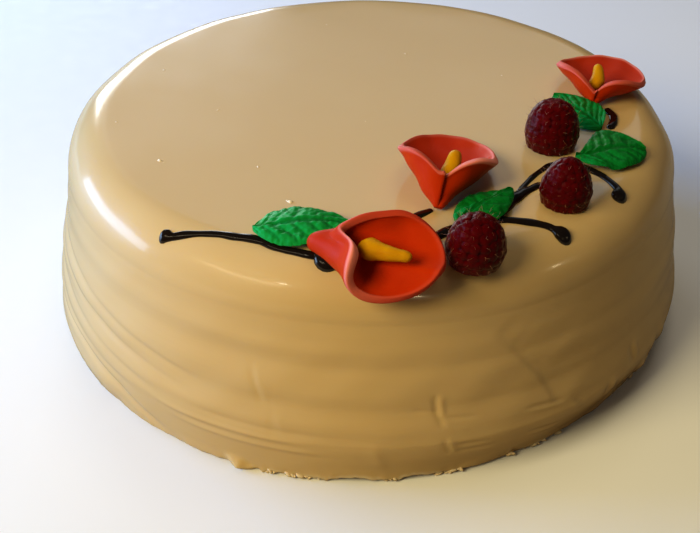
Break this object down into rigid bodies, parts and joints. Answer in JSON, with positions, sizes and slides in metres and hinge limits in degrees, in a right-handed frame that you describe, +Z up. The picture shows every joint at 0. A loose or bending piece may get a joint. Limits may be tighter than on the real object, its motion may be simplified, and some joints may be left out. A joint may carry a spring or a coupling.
{
  "type": "caramel cake",
  "caption": "Round caramel glazed layer cake decorated with fondant calla lilies, green leaves, raspberries and chocolate twigs.",
  "frame": {"origin": "middle of the flat underside of the glazed body", "axes": "+Z up through the middle of the cake; the decorated front faces -Y and the far calla lies towards +X"},
  "size_m": [0.2187, 0.2187, 0.0861],
  "materials": {
    "caramel_glaze": "glossy caramel glaze with dark chocolate strokes on it",
    "dark_chocolate": "glossy piped chocolate, on the strokes fused to the glaze",
    "red_fondant": "satin fondant",
    "yellow_fondant": "satin fondant",
    "green_fondant": "satin fondant with pressed veins",
    "raspberry": "moist fruit skin with fine hairs"
  },
  "bodies": {
    "root": {"cake": "caramel_glaze", "calla_1_spathe": "red_fondant", "calla_1_spadix": "yellow_fondant", "calla_2_spathe": "red_fondant", "calla_2_spadix": "yellow_fondant", "calla_3_spathe": "red_fondant", "calla_3_spadix": "yellow_fondant", "leaf_1": "green_fondant", "leaf_2": "green_fondant", "leaf_3": "green_fondant", "leaf_4": "green_fondant", "raspberry_1": "raspberry", "raspberry_2": "raspberry", "raspberry_3": "raspberry"}
  },
  "joints": []
}
